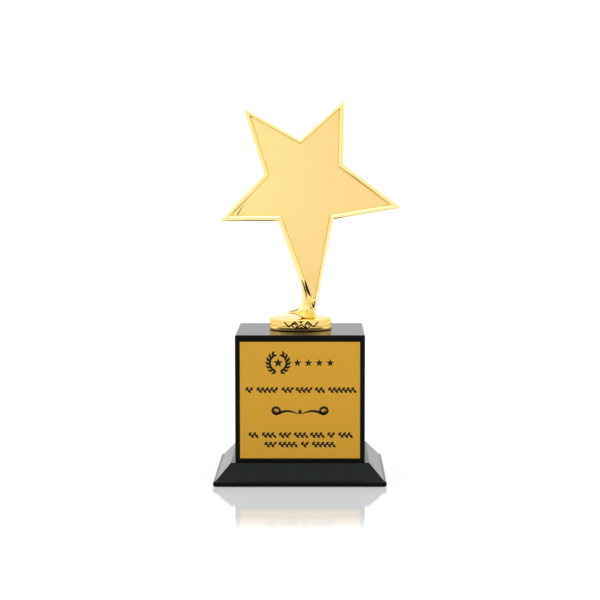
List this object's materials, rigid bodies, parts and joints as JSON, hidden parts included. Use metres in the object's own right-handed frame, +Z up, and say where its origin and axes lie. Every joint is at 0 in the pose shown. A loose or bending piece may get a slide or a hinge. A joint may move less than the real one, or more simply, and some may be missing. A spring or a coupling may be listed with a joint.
{
  "type": "star trophy",
  "caption": "Gold star award on a cast stem and engraved disc, standing on a black lacquered box with a blank gold name plate and a bevelled plinth.",
  "frame": {"origin": "centre of the plinth's underside, on the face of the felt pad that rests on the table", "axes": "+Z up, the name plate and the star's front face towards -Y, +X to the viewer's right"},
  "size_m": [0.1242, 0.113, 0.2514],
  "materials": {
    "polished_gold": "mirror-polished gold plating",
    "satin_gold": "fine satin gold plating",
    "plate_gold": "brushed and gold anodised",
    "black_lacquer": "high-gloss black lacquer on fibreboard",
    "raw_wood": "sawn, unfinished",
    "zinc_steel": "bright zinc plated",
    "black_felt": "short-napped felt",
    "foam_tape": "thin foam, matte"
  },
  "bodies": {
    "root": {"star_frame": "polished_gold", "star_face_front": "satin_gold", "star_face_back": "satin_gold", "stem": "polished_gold", "riser_disc": "polished_gold", "stem_screw": "zinc_steel", "top_panel": "black_lacquer", "front_wall": "black_lacquer", "right_wall": "black_lacquer", "back_wall": "black_lacquer", "left_wall": "black_lacquer", "corner_block_front_left": "raw_wood", "corner_block_front_right": "raw_wood", "corner_block_back_right": "raw_wood", "corner_block_back_left": "raw_wood", "name_plate": "plate_gold", "name_plate_tape": "foam_tape", "plinth": "black_lacquer", "plinth_screw_front_left": "zinc_steel", "plinth_screw_front_right": "zinc_steel", "plinth_screw_back_right": "zinc_steel", "plinth_screw_back_left": "zinc_steel", "felt_pad": "black_felt", "threaded_rod": "zinc_steel", "rod_washer": "zinc_steel", "spring_washer": "zinc_steel", "rod_nut": "zinc_steel"}
  },
  "joints": []
}
